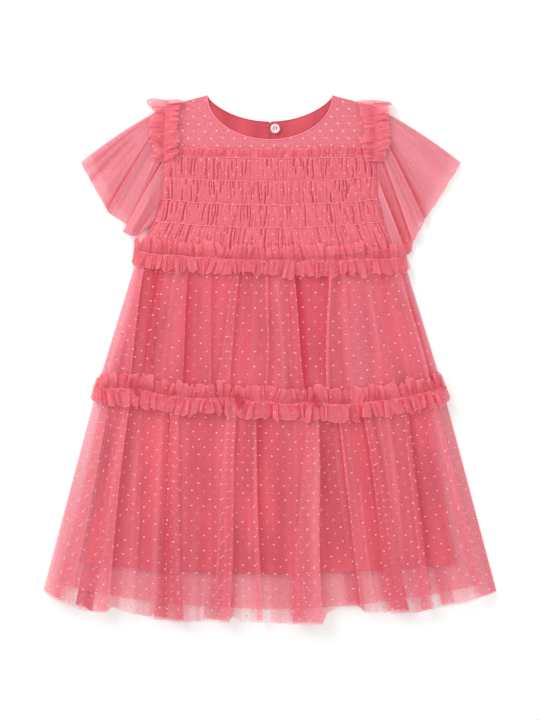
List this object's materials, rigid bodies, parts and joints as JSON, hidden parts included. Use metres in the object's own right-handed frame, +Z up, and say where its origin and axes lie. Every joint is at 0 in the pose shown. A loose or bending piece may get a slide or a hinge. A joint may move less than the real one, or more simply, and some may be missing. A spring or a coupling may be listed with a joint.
{
  "type": "toddler party dress",
  "caption": "Short-sleeved tulle party dress laid flat: gathered bodice, flutter sleeves, frilled seams and a two-tier skirt over an opaque lining.",
  "frame": {"origin": "centre of the garment's bounding box, on the surface it lies on", "axes": "+Y from the hem towards the neck, +X to the right as the front is seen, +Z up out of the surface through the front"},
  "size_m": [0.4546, 0.529, 0.0164],
  "materials": {
    "dotted_tulle": "sheer matte coral net with pale glittering dots",
    "plain_tulle": "sheer matte coral net",
    "ruffle_tulle": "crisp gathered coral net",
    "lining": "opaque fine coral voile with a soft sheen",
    "button": "pearly pale pink",
    "thread": "coral sewing thread"
  },
  "bodies": {
    "root": {"back_bodice_left": "lining", "back_bodice_right": "lining", "front_yoke": "dotted_tulle", "shirred_panel": "dotted_tulle", "sleeve_left": "dotted_tulle", "sleeve_left_inner": "plain_tulle", "shoulder_ruffle_left": "ruffle_tulle", "sleeve_right": "dotted_tulle", "sleeve_right_inner": "plain_tulle", "shoulder_ruffle_right": "ruffle_tulle", "upper_tier_front": "dotted_tulle", "lower_tier_front": "dotted_tulle", "upper_tier_back": "dotted_tulle", "lower_tier_back": "dotted_tulle", "underskirt_back": "plain_tulle", "lining_back": "lining", "lining_front": "lining", "underskirt_front": "plain_tulle", "waist_ruffle_front": "ruffle_tulle", "waist_ruffle_back": "ruffle_tulle", "middle_ruffle_front": "ruffle_tulle", "middle_ruffle_back": "ruffle_tulle", "button": "button", "button_loop": "thread"}
  },
  "joints": []
}
